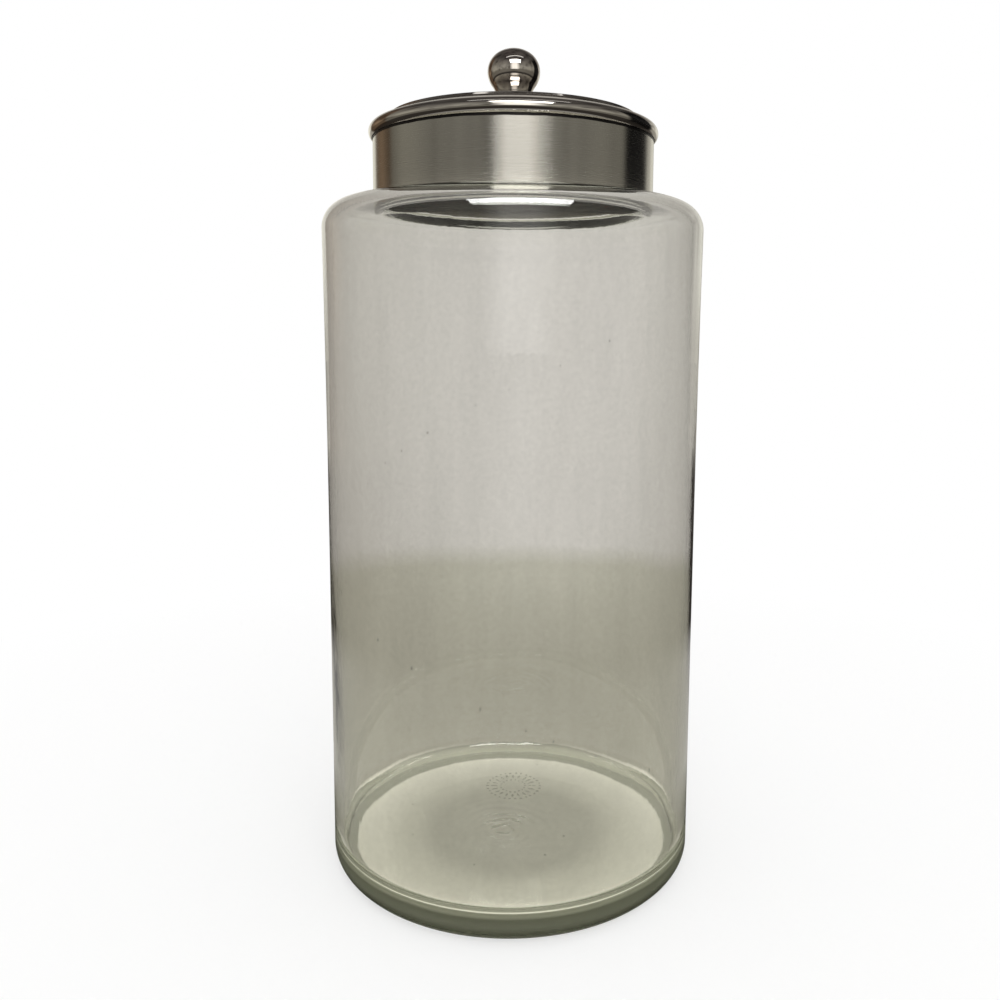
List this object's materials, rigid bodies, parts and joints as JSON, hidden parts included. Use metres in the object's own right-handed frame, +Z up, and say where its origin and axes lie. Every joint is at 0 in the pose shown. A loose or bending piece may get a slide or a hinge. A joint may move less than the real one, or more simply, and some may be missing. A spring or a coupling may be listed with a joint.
{
  "type": "coin bank jar",
  "caption": "Tall round glass jar with a rounded shoulder, a slip-over metal lid with a coin slot and a ball knob, used as a coin bank or storage canister.",
  "frame": {"origin": "centre of the foot, on the surface that the jar stands on", "axes": "+Z up along the jar's axis, -Y to the front, where the coin slot is, +X to the right"},
  "size_m": [0.2014, 0.2014, 0.4402],
  "materials": {
    "clear_glass": "clear, faintly grey-green, gloss",
    "polished_steel": "mirror polish",
    "brushed_band": "satin, brushed round the band",
    "gasket_rubber": "translucent white, matte",
    "polished_knob": "mirror polish",
    "plain_steel": "plain zinc-plated steel"
  },
  "bodies": {
    "jar": {"glass_jar": "clear_glass"},
    "lid": {"lid_cap": "polished_steel", "lid_skirt": "brushed_band", "lid_gasket": "gasket_rubber", "knob": "polished_knob", "knob_washer": "plain_steel", "knob_screw": "plain_steel"}
  },
  "joints": [
    {"name": "lid_lift", "type": "slide", "parent": "jar", "child": "lid", "axis": [0, 0, 1], "range_m": [0, 0.1]}
  ]
}
